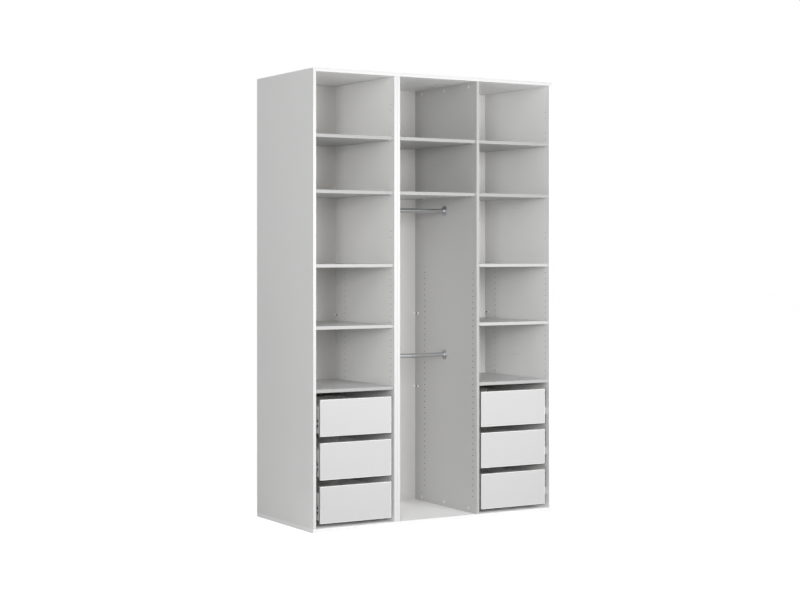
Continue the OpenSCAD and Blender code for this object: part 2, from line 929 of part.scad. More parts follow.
module back_clips() {
    color(plastic_white)
        for (bay = [left_bay, hanging_bay, right_bay])
            for (z = clip_zs) {
                translate([bay[0], y_at(back_y), z])
                    back_clip();
                translate([bay[1], y_at(back_y), z])
                    mirror([1, 0, 0])
                        back_clip();
            }
}

// Sleeve nut from the left and screw from the right, through both middle sides
module unit_joining_bolts() {
    sleeve_l = 2 * (panel_t - join_end);
    bore_d = join_d - 2 * join_wall;
    screw_end = join_end + over;
    color(zinc)
        for (p = join_places)
            translate([x_mid - panel_t, y_at(p[0]), row_z(p[1])])
                rotate([0, 90, 0]) {
                    difference() {
                        union() {
                            translate([0, 0, -join_head_t])
                                cylinder(d = join_head_d, h = join_head_t);
                            cylinder(d = join_d, h = sleeve_l);
                        }
                        translate([0, 0, join_end])
                            cylinder(d = bore_d, h = sleeve_l);
                    }
                    translate([0, 0, 2 * panel_t])
                        cylinder(d = join_head_d, h = join_head_t);
                    translate([0, 0, screw_end])
                        cylinder(d = bore_d - 2 * bore_play, h = 2 * panel_t - screw_end);
                }
}

left_unit_left_side();
left_unit_right_side();
left_unit_top();
left_unit_bottom();
left_unit_back();
wide_unit_left_side();
wide_unit_divider();
wide_unit_right_side();
wide_unit_top();
wide_unit_bottom();
wide_unit_back_left();
wide_unit_back_right();
for (i = [1:bay_shelves])
    shelf(left_bay, i);
for (i = [1:hanging_shelves])
    shelf(hanging_bay, i);
for (i = [1:bay_shelves])
    shelf(right_bay, i);
for (stack = ["left", "right"], i = [1:drawer_count])
    drawer_front(stack, i);
for (stack = ["left", "right"], i = [1:drawer_count])
    drawer_box(stack, i);
for (stack = ["left", "right"], i = [1:drawer_count])
    box_slides(stack, i);
for (stack = ["left", "right"], i = [1:drawer_count])
    middle_slides(stack, i);
for (stack = ["left", "right"])
    cabinet_slides(stack);
slide_battens();
upper_hanging_rail();
lower_hanging_rail();
rail_brackets();
shelf_pins();
cam_fittings();
cam_caps();
wooden_dowels();
back_clips();
unit_joining_bolts();
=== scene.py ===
from functools import reduce
from math import cos, radians, sin
from operator import or_

import bpy
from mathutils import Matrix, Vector


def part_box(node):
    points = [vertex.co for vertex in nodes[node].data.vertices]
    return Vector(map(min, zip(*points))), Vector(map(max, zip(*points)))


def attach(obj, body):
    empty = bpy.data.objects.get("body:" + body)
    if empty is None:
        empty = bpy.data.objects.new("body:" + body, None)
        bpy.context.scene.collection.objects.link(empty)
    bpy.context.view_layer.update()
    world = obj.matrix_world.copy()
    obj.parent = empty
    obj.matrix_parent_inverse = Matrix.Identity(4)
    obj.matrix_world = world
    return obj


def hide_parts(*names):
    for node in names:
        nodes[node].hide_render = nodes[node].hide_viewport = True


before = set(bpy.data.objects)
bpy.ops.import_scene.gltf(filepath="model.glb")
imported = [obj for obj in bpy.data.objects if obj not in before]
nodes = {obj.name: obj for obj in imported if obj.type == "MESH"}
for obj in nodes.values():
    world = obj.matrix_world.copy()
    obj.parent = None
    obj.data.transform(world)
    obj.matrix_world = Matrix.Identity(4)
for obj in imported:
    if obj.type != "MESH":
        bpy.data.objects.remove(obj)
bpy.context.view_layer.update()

scene = bpy.context.scene
scene.view_settings.view_transform = "Standard"


# Camera. It stands well back to the front left, at a little over half the wardrobe's height.
# The lens isn't tilted, so the uprights stay parallel, and it is shifted to take in the base.
camera_data = bpy.data.cameras.new("camera")
camera_data.sensor_width = 36
camera_data.lens = 75.3
camera_data.shift_y = -0.0556
camera_data.clip_end = 100
camera = bpy.data.objects.new("camera", camera_data)
camera.location = (-4.727, -7.935, 1.422)
camera.rotation_euler = (radians(90), 0, radians(-30.58))
scene.collection.objects.link(camera)
scene.camera = camera


# Floor and light. The floor is a matt white sheet that runs out past the view, with the soft
# shadow of the wardrobe on it. The room is dim. One soft panel stands beside the camera, a larger
# one hangs high above the view, and a third one stands nearer, in front of the wardrobe.
class Wire:
    """One socket in a tree of nodes. Arithmetic on it adds Math nodes."""

    def __init__(self, tree, socket=None):
        self.tree = tree
        self.socket = socket

    def node(self, kind, inputs=None, output=0, **settings):
        """Adds a node with its settings and inputs, and gives a wire on one of its outputs."""
        made = self.tree.nodes.new(kind)
        for name, value in settings.items():
            if name == "stops":
                ramp = made.color_ramp.elements
                while len(ramp) < len(value):
                    ramp.new(0.5)
                for stop, (place, colour) in zip(ramp, value):
                    stop.position = place
                    stop.color = colour
            else:
                setattr(made, name, value)
        for name, value in (inputs or {}).items():
            wires = value if isinstance(value, list) else [value]
            if isinstance(wires[0], Wire):
                for wire in wires:
                    self.tree.links.new(wire.socket, made.inputs[name])
            else:
                made.inputs[name].default_value = value
        return Wire(self.tree, made.outputs[output])

    def math(self, operation, *values):
        return self.node("ShaderNodeMath", dict(enumerate(values)), operation=operation)

    def __add__(self, other):
        return self.math("ADD", self, other)

    def __radd__(self, other):
        return self.math("ADD", other, self)

    def __sub__(self, other):
        return self.math("SUBTRACT", self, other)

    def __rsub__(self, other):
        return self.math("SUBTRACT", other, self)

    def __mul__(self, other):
        return self.math("MULTIPLY", self, other)

    def __rmul__(self, other):
        return self.math("MULTIPLY", other, self)

    def __mod__(self, other):
        return self.math("MODULO", self, other)

    def __gt__(self, other):
        return self.math("GREATER_THAN", self, other)

    def __lt__(self, other):
        return self.math("LESS_THAN", self, other)

    def __or__(self, other):
        return self.math("MAXIMUM", self, other)

    def __abs__(self):
        return self.math("ABSOLUTE", self)

    def mix(self, low, high):
        """The colour low where this is 0 and high where it is 1."""
        return self.node("ShaderNodeMix", {0: self, 6: low, 7: high}, output=2, data_type="RGBA")


def new_material(name):
    """An empty material, a wire on its nodes, and its output node."""
    material = bpy.data.materials.new(name)
    material.use_nodes = True
    tree = material.node_tree
    tree.nodes.clear()
    return material, Wire(tree), tree.nodes.new("ShaderNodeOutputMaterial")


floor_mesh = bpy.data.meshes.new("floor")
reach = 40
floor_corners = [(-reach, -reach, 0), (reach, -reach, 0), (reach, reach, 0), (-reach, reach, 0)]
floor_mesh.from_pydata(floor_corners, [], [(0, 1, 2, 3)])
floor = bpy.data.objects.new("floor", floor_mesh)
scene.collection.objects.link(floor)

white = (1, 1, 1, 1)
seen_glow = 0.77
floor_white, paint, out = new_material("floor_white")
lit = paint.node("ShaderNodeBsdfDiffuse", {"Color": (0.8, 0.8, 0.8, 1)})
glow = paint.node("ShaderNodeEmission", {"Color": white, "Strength": seen_glow})
both = paint.node("ShaderNodeAddShader", {0: lit, 1: glow})
seen = paint.node("ShaderNodeLightPath", output="Is Camera Ray")
floor_mix = paint.node("ShaderNodeMixShader", {0: seen, 1: lit, 2: both})
paint.tree.links.new(floor_mix.socket, out.inputs["Surface"])
floor_mesh.materials.append(floor_white)

world = bpy.data.worlds.new("room")
scene.world = world
world.use_nodes = True
world.node_tree.nodes.clear()
room = Wire(world.node_tree)
rays = room.node("ShaderNodeLightPath").socket.node.outputs
backdrop = Wire(room.tree, rays["Is Camera Ray"]) + Wire(room.tree, rays["Is Glossy Ray"])
backdrop = backdrop + Wire(room.tree, rays["Is Transmission Ray"])
room_light = 0.28
dim = room.node("ShaderNodeBackground", {"Color": white, "Strength": room_light})
bright = room.node("ShaderNodeBackground", {"Color": white, "Strength": 1.0})
room_out = room.tree.nodes.new("ShaderNodeOutputWorld")
background = room.node("ShaderNodeMixShader", {0: backdrop, 1: dim, 2: bright})
room.tree.links.new(background.socket, room_out.inputs["Surface"])


wardrobe_middle = Vector((0, 0, 1.2))


def soft_panel(name, place, size, power):
    """A square area lamp at a place, turned to the middle of the wardrobe."""
    lamp_data = bpy.data.lights.new(name, "AREA")
    lamp_data.shape = "SQUARE"
    lamp_data.size = size
    lamp_data.energy = power
    lamp = bpy.data.objects.new(name, lamp_data)
    lamp.location = place
    lamp.rotation_euler = (wardrobe_middle - Vector(place)).to_track_quat("-Z", "Y").to_euler()
    scene.collection.objects.link(lamp)


soft_panel("camera_side_panel", (-6.6, -8.4, 2.25), size=1.5, power=284)
soft_panel("high_panel", (-4.7, -5.5, 3.6), size=3.0, power=91)
soft_panel("near_panel", (0.6, -3.6, 1.8), size=1.5, power=99)


# Carcass boards. Chipboard faced with white melamine, cut to size, drilled and edged with a band
# whose grey is painted light and shade, set board by board. The cut rear edges show the chips of
# the core, and the holes and grooves are painted dark as painted shade.
# Each side of a board's box is an axis and its low or high end.
LEFT, RIGHT, FRONT, BOTTOM, TOP = (0, 0), (0, 1), (1, 0), (2, 0), (2, 1)
hole_rows = (-0.293, 0.210)
hole_pitch = 0.032
lowest_hole = 0.112
highest_hole = 1.328
hole_shade_radius = 0.0036


def painted_hole_shade(axes):
    """Where a narrow rim round each hole of both shelf-pin rows is painted darker, as painted shade."""
    between_rows = (hole_rows[0] + hole_rows[1]) / 2
    half_spread = (hole_rows[1] - hole_rows[0]) / 2
    across = abs(axes[1] - between_rows) - half_spread
    up = (axes[2] - (lowest_hole - 0.5 * hole_pitch)) % hole_pitch - 0.5 * hole_pitch
    shaded_rims = across * across + up * up < hole_shade_radius * hole_shade_radius
    return shaded_rims * (axes[2] < highest_hole + 0.5 * hole_pitch)


def chipboard(paint, place):
    """The pattern of the core's chips, as a number and as a colour."""
    cells = paint.node("ShaderNodeTexVoronoi", {"Vector": place, "Scale": 420.0}, output="Color")
    chip = paint.node("ShaderNodeSeparateColor", {0: cells})
    browns = [(0, (0.30, 0.19, 0.10, 1)), (0.5, (0.47, 0.33, 0.19, 1)), (1, (0.62, 0.47, 0.30, 1))]
    return chip, paint.node("ShaderNodeValToRGB", {0: chip}, stops=browns)


def board_finish(
    node, face, band, banded=(FRONT,), wrapped=(), drilled=(), hole_shade_grey=0.6, ends=None, under=None,
    band_width=0.0013, arris=0.0008,
):
    """Melamine on both faces and the wrapped edges, a band on the banded ones, and chips on the rest.

    Deep in the holes and grooves it is painted a near-black brown, as painted shade. The band's long
    arrises are painted darker as painted shade, and so is a narrow rim round each hole of the
    shelf-pin rows on the drilled faces. The ends and the underside take a darker tone where one is
    given, as painted shade."""
    low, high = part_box(node)
    thin = min(range(3), key=lambda axis: high[axis] - low[axis])
    skin = 0.0004
    outermost = 0.0001
    bore_margin = 0.003
    glue_line = 0.00012
    bore_shade_brown = (0.03, 0.02, 0.013, 1)
    glue_grey = (0.4, 0.4, 0.39, 1)
    arris_shade_grey = (0.3, 0.3, 0.3, 1)
    material, paint, out = new_material(node)
    place = paint.node("ShaderNodeTexCoord", output="Object")
    axes = [paint.node("ShaderNodeSeparateXYZ", {0: place}, output=axis) for axis in range(3)]

    def depth(axis, side):
        """How far in from one of the six sides of the board's box."""
        return axes[axis] - low[axis] if side == 0 else high[axis] - axes[axis]

    core = (depth(thin, 0) > skin) * (depth(thin, 1) > skin)
    for axis, side in wrapped:
        core = core * (depth(axis, side) > skin)
    bored = core
    for axis in {0, 1, 2} - {thin}:
        bored = bored * (depth(axis, 0) > bore_margin) * (depth(axis, 1) > bore_margin)
    edge = reduce(or_, [depth(axis, side) < band_width for axis, side in banded])
    core = core * (1 - edge)
    joint = abs(depth(*banded[0]) - band_width) < glue_line
    # The band's long arrises are painted darker, as painted shade on their rounded edges.
    arrises = edge * ((depth(thin, 0) < arris) | (depth(thin, 1) < arris))

    chip, chips = chipboard(paint, place)
    # Deep in the holes and grooves the chips are painted near-black, as painted shade.
    chips = bored.mix(chips, bore_shade_brown)
    cloud = paint.node("ShaderNodeTexNoise", {"Vector": place, "Scale": 3.0, "Detail": 4.0})
    pearl = paint.node("ShaderNodeTexNoise", {"Vector": place, "Scale": 900.0, "Detail": 2.0})
    plain = cloud.mix([0.98 * c for c in face] + [1], [min(1.0, 1.02 * c) for c in face] + [1])
    colour = edge.mix(plain, list(band) + [1])
    colour = (joint * 0.3).mix(colour, glue_grey)
    colour = (arrises * 0.4).mix(colour, arris_shade_grey)
    # A narrow rim round each shelf-pin hole is painted darker, as painted shade.
    if drilled:
        on_face = reduce(or_, [depth(thin, side) < skin for side in drilled])
        colour = (painted_hole_shade(axes) * on_face).mix(colour, (hole_shade_grey, hole_shade_grey, 0.97 * hole_shade_grey, 1))
    # The end tone is painted shade.
    if ends:
        at_end = (depth(*LEFT) < outermost) | (depth(*RIGHT) < outermost)
        colour = at_end.mix(colour, ends)
    # The underside tone is painted shade.
    if under:
        colour = (depth(*BOTTOM) < outermost).mix(colour, under)
    colour = core.mix(colour, chips)
    height = pearl * 0.35 * (1 - core) + chip * core
    bump = paint.node("ShaderNodeBump", {"Height": height, "Distance": 0.0002, "Strength": 0.25})
    rough = 0.36 + 0.08 * cloud + 0.45 * core
    shader = paint.node(
        "ShaderNodeBsdfPrincipled",
        {"Base Color": colour, "Roughness": rough, "Normal": bump, "IOR": 1.45},
    )
    paint.tree.links.new(shader.socket, out.inputs["Surface"])
    dress(node, material)


def dress(node, material):
    """Gives a CAD node its finished material."""
    nodes[node].data.materials.clear()
    nodes[node].data.materials.append(material)


melamine = (0.83, 0.83, 0.825)
# The bottom boards are painted paler than the other carcass boards, as painted light from above.
bottom_melamine_with_painted_light = (0.93, 0.93, 0.925)
# The grey of each side's band, painted lighter or darker as painted light and shade, and which of
# its faces has the holes
side_band_shades = {
    "left_unit_left_side": (0.60, 1), "left_unit_right_side": (0.59, 0),
    "wide_unit_left_side": (0.59, 1), "wide_unit_right_side": (0.79, 0),
}
for node, (grey, inner_face) in side_band_shades.items():
    board_finish(node, melamine, (grey, grey, grey), drilled=(inner_face,))
# The top and bottom bands are painted greys too, set as painted light and shade.
for unit in ("left_unit", "wide_unit"):
    board_finish(unit + "_top", melamine, (0.61, 0.61, 0.61), wrapped=(LEFT, RIGHT))
    board_finish(unit + "_bottom", bottom_melamine_with_painted_light, (0.745, 0.745, 0.745), wrapped=(LEFT, RIGHT))


# Divider, shelves and slide battens. The divider and the loose shelves are a shade greyer than the
# carcass. The shelves are banded in front and at both ends. The divider, the battens and the packing
# strips behind the slides are banded in front alone.
# The band greys of the divider and the shelves are painted shade, set one by one.
divider_melamine = (0.51, 0.51, 0.51)
board_finish("wide_unit_divider", divider_melamine, (0.38, 0.38, 0.375), drilled=(0, 1), hole_shade_grey=0.05)
shelf_melamine = (0.60, 0.60, 0.597)
# The shelves' undersides are painted darker than their tops, as painted shade.
shelf_underside_shade = (0.48, 0.48, 0.477, 1)
# The grey of each shelf's band, from the top one down, painted lighter or darker as painted light
# and shade. The left bay's bands are painted darker still, as painted shade.
shelf_band_shades = {1: 0.345, 2: 0.345, 3: 0.45, 4: 0.465, 5: 0.39}
left_bay_band_shade = 0.92
for node in sorted(nodes):
    if "_shelf_" in node:
        grey = shelf_band_shades[int(node[-1])] * (left_bay_band_shade if node.startswith("left") else 1.0)
        shaded_shelf_band = (grey, grey, 0.99 * grey)
        board_finish(
            node, shelf_melamine, shaded_shelf_band, banded=(FRONT, LEFT, RIGHT), under=shelf_underside_shade,
        )
# The battens are painted mid-grey, as painted shade in the gaps beside the drawers.
batten_shade_grey = (0.40, 0.40, 0.40)
board_finish("slide_battens", batten_shade_grey, batten_shade_grey, arris=0)


# Back panels. Thinner board with a slightly warmer foil, cut to size and let into the grooves of
# the carcass. The wide unit has two, which meet behind the divider.
# The wide unit's right back is painted paler than the others, as painted light in the right bay.
back_foils_and_painted_light = {
    "left_unit_back": (0.725, 0.71, 0.69), "wide_unit_back_left": (0.71, 0.70, 0.68),
    "wide_unit_back_right": (0.77, 0.765, 0.75),
}
for node, back_foil_and_light in back_foils_and_painted_light.items():
    board_finish(node, back_foil_and_light, back_foil_and_light, banded=(LEFT, RIGHT))


# Drawers. Each front is a light grey board. A paler band all round is a painted highlight along its
# edges, and its darker ends are painted shade. The box behind it is thinner board glued round a
# grooved-in bottom, white inside, and the outer faces of its sides are painted grey as painted shade.
drawer_grey = (0.508, 0.508, 0.508)
drawer_edge_highlight = (0.92, 0.92, 0.92)
drawer_end_shade = (0.36, 0.36, 0.36, 1)
for node in sorted(nodes):
    if node.endswith("_front"):
        board_finish(
            node, drawer_grey, drawer_edge_highlight, banded=(LEFT, RIGHT, BOTTOM, TOP), ends=drawer_end_shade,
            band_width=0.0018, arris=0,
        )


def plain_finish(
    name, colour, rough, grain_scale, grain_depth, metallic=0.0, variation=0.03, flanks=None,
):
    """A moulded, foiled or plated surface with a fine grain and a slight change of tone.

    Flanks are a low and a high X, and beyond them a colour given with them is painted as painted shade."""
    material, paint, out = new_material(name)
    place = paint.node("ShaderNodeTexCoord", output="Object")
    grain = paint.node("ShaderNodeTexNoise", {"Vector": place, "Scale": grain_scale, "Detail": 3.0})
    cloud = paint.node("ShaderNodeTexNoise", {"Vector": place, "Scale": 12.0, "Detail": 3.0})
    low = [(1 - variation) * c for c in colour] + [1]
    high = [min(1.0, (1 + variation) * c) for c in colour] + [1]
    tone = cloud.mix(low, high)
    if flanks:
        x = paint.node("ShaderNodeSeparateXYZ", {0: place})
        tone = ((x < flanks[0]) | (x > flanks[1])).mix(tone, flanks[2])
    bump = paint.node("ShaderNodeBump", {"Height": grain, "Distance": grain_depth, "Strength": 0.3})
    shader = paint.node(
        "ShaderNodeBsdfPrincipled",
        {
            "Base Color": tone, "Roughness": rough * 0.85 + 0.3 * rough * grain,
            "Metallic": metallic, "Normal": bump,
        },
    )
    paint.tree.links.new(shader.socket, out.inputs["Surface"])
    return material


inner_foil = (0.92, 0.92, 0.915)
# The outer faces of the box sides are painted grey, as painted shade in the gaps beside the fronts.
outer_box_shade = (0.62, 0.62, 0.615, 1)
foil_thickness = 0.0002
for node in sorted(nodes):
    if node.endswith("_box"):
        low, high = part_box(node)
        flanks = (low.x + foil_thickness, high.x - foil_thickness, outer_box_shade)
        dress(node, plain_finish(node, inner_foil, 0.4, 900.0, 0.0001, variation=0.01, flanks=flanks))


# Ball slides. Each has a cabinet, a middle and a drawer member, rolled from zinc-plated strip,
# with steel balls between them. Black plastic covers the front ends of the middle and drawer
# members, where the stops are, and the cabinet member's whole front end is painted black as
# painted shade.
stack_pitch = 0.224
dark_front_length = 0.0091


def slide_finish(node, across, up):
    """Zinc plating, with black at the front ends: plastic, and painted shade on cabinet members.

    The plastic lies between two distances across from the stack's middle, and between two distances
    above and below the middle of each slide. A first distance under 0 takes in the middle itself."""
    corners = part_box(node)
    middle = (corners[0].x + corners[1].x) / 2
    material, paint, out = new_material(node)
    place = paint.node("ShaderNodeTexCoord", output="Object")
    x, y, z = [paint.node("ShaderNodeSeparateXYZ", {0: place}, output=axis) for axis in range(3)]
    spread = abs(x - middle)
    rise = abs(z % stack_pitch - 0.5 * stack_pitch)
    # This mask also takes in the painted shade on the cabinet members.
    stop = (spread > across[0]) * (spread < across[1]) * (rise > up[0]) * (rise < up[1])
    stop = stop * (y < corners[0].y + dark_front_length)
    crystals = paint.node("ShaderNodeTexVoronoi", {"Vector": place, "Scale": 160.0}, output="Color")
    spangle = paint.node("ShaderNodeSeparateColor", {0: crystals})
    along = paint.node("ShaderNodeMapping", {0: place, 3: (900.0, 20.0, 900.0)})
    brushed = paint.node("ShaderNodeTexNoise", {"Vector": along, "Scale": 1.0, "Detail": 3.0})
    bump = paint.node("ShaderNodeBump", {"Height": brushed, "Distance": 0.0001, "Strength": 0.2})
    plating = spangle.mix((0.40, 0.41, 0.42, 1), (0.48, 0.49, 0.50, 1))
    black_plastic_and_shade = (0.01, 0.01, 0.01, 1)
    shader = paint.node(
        "ShaderNodeBsdfPrincipled",
        {
            "Base Color": stop.mix(plating, black_plastic_and_shade), "Metallic": 1 - stop,
            "Roughness": 0.42 + 0.12 * brushed, "Normal": bump,
        },
    )
    paint.tree.links.new(shader.socket, out.inputs["Surface"])
    dress(node, material)


zinc = plain_finish("zinc_plating", (0.46, 0.47, 0.48), 0.45, 600.0, 0.0001, metallic=1.0)
for node in sorted(nodes):
    if node.endswith("_slides"):
        low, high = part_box(node)
        half = (high.x - low.x) / 2
        if node.endswith("_cabinet_slides"):
            # The cabinet member's whole front end is painted black, as painted shade in the gap.
            slide_finish(node, across=(-0.001, half), up=(-0.001, 0.0205))
        elif node.endswith("_middle_slides"):
            slide_finish(node, across=(half - 0.010, half + 0.001), up=(-0.001, 0.0200))
        else:
            slide_finish(node, across=(half - 0.0088, half - 0.0030), up=(0.0050, 0.0119))


# Hanging rails. Chrome-plated steel tube, cut to length and held at each end in a round cup.
# The cup's flange is screwed to the upright with three domed cross-head screws.
def turned(shape, outside, inside=()):
    """A solid turned about Z. Its (radius, height) points run up the outside and down a bore."""
    walls = []

    def wall(low, high):
        cone = shape.node(
            "GeometryNodeMeshCone",
            {
                "Vertices": 32, "Radius Bottom": low[0], "Radius Top": high[0],
                "Depth": shape.math("SUBTRACT", high[1], low[1]),
            },
            fill_type="NONE",
        )
        lift = shape.node("ShaderNodeCombineXYZ", {"Z": low[1]})
        return shape.node("GeometryNodeTransform", {"Geometry": cone, "Translation": lift})

    for low, high in zip(outside, outside[1:]):
        walls.append(wall(low, high))
    for high, low in zip(outside[-1:] + list(inside), inside):
        walls.append(shape.node("GeometryNodeFlipFaces", {"Mesh": wall(low, high)}))
    joined = shape.node("GeometryNodeJoinGeometry", {"Geometry": walls})
    weld = 0.000005
    return shape.node("GeometryNodeMergeByDistance", {"Geometry": joined, "Distance": weld})


def fitting(name, shape_of, sizes, places, facings, material, replaced=()):
    """One shape, made from named sizes, at each place, with its Z axis along the place's facing.

    It rides on the carcass and stands for the replaced nodes."""
    tree = bpy.data.node_groups.new(name, "GeometryNodeTree")
    tree.interface.new_socket("Geometry", in_out="OUTPUT", socket_type="NodeSocketGeometry")
    tree.interface.new_socket("Places", in_out="INPUT", socket_type="NodeSocketGeometry")
    for size in sizes:
        tree.interface.new_socket(size, in_out="INPUT", socket_type="NodeSocketFloat")
    entry = tree.nodes.new("NodeGroupInput").outputs
    shape = Wire(tree)
    one = shape_of(shape, *[Wire(tree, entry[size]) for size in sizes])
    facing = shape.node("GeometryNodeInputNamedAttribute", {"Name": "facing"}, data_type="FLOAT_VECTOR")
    turn = shape.node("FunctionNodeAlignRotationToVector", {"Vector": facing}, axis="Z")
    spread = shape.node(
        "GeometryNodeInstanceOnPoints",
        {"Points": Wire(tree, entry["Places"]), "Instance": one, "Rotation": turn},
    )
    solid = shape.node("GeometryNodeRealizeInstances", {"Geometry": spread})
    rounded = shape.node("GeometryNodeSetShadeSmooth", {"Geometry": solid}, domain="FACE")
    crease_angle = radians(40)
    crease = shape.node("GeometryNodeInputMeshEdgeAngle") > crease_angle
    rounded = shape.node(
        "GeometryNodeSetShadeSmooth",
        {"Geometry": rounded, "Selection": crease, "Shade Smooth": False}, domain="EDGE",
    )
    finished = shape.node("GeometryNodeSetMaterial", {"Geometry": rounded, "Material": material})
    tree.links.new(finished.socket, tree.nodes.new("NodeGroupOutput").inputs["Geometry"])

    marks = bpy.data.meshes.new(name + "_places")
    marks.from_pydata(places, [], [])
    for mark, way in zip(marks.attributes.new("facing", "FLOAT_VECTOR", "POINT").data, facings):
        mark.vector = way
    piece = bpy.data.objects.new(name, marks)
    scene.collection.objects.link(piece)
    modifier = piece.modifiers.new(name, "NODES")
    modifier.node_group = tree
    for socket in tree.interface.items_tree:
        if socket.name in sizes:
            modifier[socket.identifier] = sizes[socket.name]
    evaluated = piece.evaluated_get(bpy.context.evaluated_depsgraph_get())
    mesh = bpy.data.meshes.new_from_object(evaluated)
    piece.modifiers.clear()
    piece.data = mesh
    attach(piece, "carcass")
    for node in replaced:
        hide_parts(node)


def tube(shape, diameter, wall, length):
    outer = 0.5 * diameter
    inner = outer - wall
    edge = 0.0003
    outside = [
        (inner, 0), (outer - edge, 0), (outer, edge), (outer, length - edge), (outer - edge, length),
        (inner, length),
    ]
    return turned(shape, outside, [(inner, 0)])


def rail_cup(shape, flange_diameter, flange_height, cup_diameter, cup_length, bore, seat):
    flange, cup = 0.5 * flange_diameter, 0.5 * cup_diameter
    outside = [
        (0, 0), (flange, 0), (flange, 0.5 * flange_height), (flange - 0.0004, 0.85 * flange_height),
        (flange - 0.0012, flange_height), (cup + 0.0022, flange_height),
        (cup + 0.0008, flange_height + 0.0006), (cup, flange_height + 0.0022),
        (cup, cup_length - 0.0011), (cup - 0.0004, cup_length - 0.0003), (cup - 0.0012, cup_length),
        (0.5 * bore, cup_length),
    ]
    return turned(shape, outside, [(0.5 * bore, seat), (0, seat)])


def screw(shape, head_diameter, head_height, shank_diameter, shank_length, recess_width):
    """A domed head over Z = 0 with a cross recess, and a pointed shank below it."""
    head, shank = 0.5 * head_diameter, 0.5 * shank_diameter
    dome = turned(shape, [
        (0, 0), (head, 0), (head, 0.3 * head_height), (0.88 * head, 0.66 * head_height),
        (0.66 * head, 0.88 * head_height), (0.36 * head, 0.98 * head_height), (0, head_height),
    ])
    arms = []
    recess_length = head_diameter * 0.56
    for long, wide in ((recess_length, recess_width), (recess_width, recess_length)):
        arm_size = shape.node("ShaderNodeCombineXYZ", {0: long, 1: wide, 2: head_height})
        arm = shape.node("GeometryNodeMeshCube", {"Size": arm_size})
        lift = shape.node("ShaderNodeCombineXYZ", {"Z": head_height * 0.95})
        arms.append(shape.node("GeometryNodeTransform", {"Geometry": arm, "Translation": lift}))
    recessed = shape.node(
        "GeometryNodeMeshBoolean", {"Mesh 1": dome, "Mesh 2": arms}, operation="DIFFERENCE",
    )
    low, high = 0 - shank_length, 0.2 * head_height
    stem = turned(shape, [(0, low), (0.4 * shank, low), (shank, low + shank), (shank, high), (0, high)])
    return shape.node("GeometryNodeJoinGeometry", {"Geometry": [recessed, stem]})


chrome_plate = plain_finish("chrome_plate", (0.62, 0.63, 0.64), 0.12, 300.0, 0.00003, 1.0, 0.01)
satin_chrome = plain_finish("satin_chrome", (0.42, 0.43, 0.44), 0.45, 300.0, 0.00003, 1.0, 0.01)
rail_nodes = ("upper_hanging_rail", "lower_hanging_rail")
rail_boxes = [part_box(rail) for rail in rail_nodes]
rail_heights = [(low.z + high.z) / 2 for low, high in rail_boxes]
rail_left, rail_right = rail_boxes[0][0].x, rail_boxes[0][1].x
rail_tube = {"Diameter": 0.025, "Wall": 0.0015, "Length": rail_right - rail_left}
rail_places = [(rail_left, 0, z) for z in rail_heights]
rail_facings = [(1, 0, 0)] * len(rail_places)
fitting(
    "hanging_rail_tubes", tube, rail_tube, rail_places, rail_facings, chrome_plate,
    rail_nodes,
)

hanging_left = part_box("wide_unit_left_side")[1].x
hanging_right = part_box("wide_unit_divider")[0].x
cup_sizes = {
    "Flange Diameter": 0.056, "Flange Height": 0.0035, "Cup Diameter": 0.0328, "Cup Length": 0.014,
    "Bore": 0.0254, "Seat": 0.003,
}
screw_sizes = {
    "Head Diameter": 0.007, "Head Height": 0.0018, "Shank Diameter": 0.004, "Shank Length": 0.0135,
    "Recess Width": 0.0009,
}
screw_circle = (cup_sizes["Flange Diameter"] + cup_sizes["Cup Diameter"]) / 4
cup_places, cup_facings, screw_places, screw_facings = [], [], [], []
for z in rail_heights:
    for face, way in ((hanging_left, 1), (hanging_right, -1)):
        cup_places.append((face, 0, z))
        cup_facings.append((way, 0, 0))
        for angle in (90, 210, 330):
            across, up = screw_circle * cos(radians(angle)), screw_circle * sin(radians(angle))
            screw_places.append((face + way * cup_sizes["Flange Height"], across, z + up))
            screw_facings.append((way, 0, 0))
fitting(
    "rail_cups", rail_cup, cup_sizes, cup_places, cup_facings, satin_chrome,
    ["rail_brackets"],
)
fitting(
    "rail_cup_screws", screw, screw_sizes, screw_places, screw_facings, satin_chrome,
    ["rail_brackets"],
)


# Shelf pins. Turned steel, with a collar against the board and a rounded end under the shelf.
# The shelf over the drawers is notched over plain ones.
def shelf_pin(shape, diameter, reach, root, collar_diameter, collar_height):
    shaft, collar = 0.5 * diameter, 0.5 * collar_diameter
    end = 0.0004
    deep = 0 - root
    return turned(shape, [
        (0, deep), (shaft - end, deep), (shaft, deep + end), (shaft, 0), (collar, 0),
        (collar, 0.7 * collar_height), (collar - 0.3 * collar_height, collar_height),
        (shaft, collar_height), (shaft, reach - 2 * end), (shaft - 0.5 * end, reach - 0.8 * end),
        (shaft - 2 * end, reach), (0, reach),
    ])


pin_sizes = {
    "Diameter": 0.0048, "Reach": 0.009, "Root": 0.0085, "Collar Diameter": 0.008, "Collar Height": 0.001,
}
nickel = plain_finish("nickel_plating", (0.78, 0.77, 0.74), 0.3, 600.0, 0.00005, 1.0)
rest_drop = 0.5 * pin_sizes["Diameter"]
notch_rise = 0.0031
pin_places = {True: [], False: []}
pin_facings = {True: [], False: []}
bay_walls = {
    "left": (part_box("left_unit_left_side")[1].x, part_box("left_unit_right_side")[0].x),
    "hanging": (hanging_left, hanging_right),
    "right": (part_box("wide_unit_divider")[1].x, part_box("wide_unit_right_side")[0].x),
}
for node in sorted(nodes):
    if "_shelf_" in node:
        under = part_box(node)[0].z
        collared = not node.endswith("5")
        pin_height = under - rest_drop if collared else under + notch_rise
        for face, way in zip(bay_walls[node.split("_")[0]], (1, -1)):
            for y in hole_rows:
                pin_places[collared].append((face, y, pin_height))
                pin_facings[collared].append((way, 0, 0))
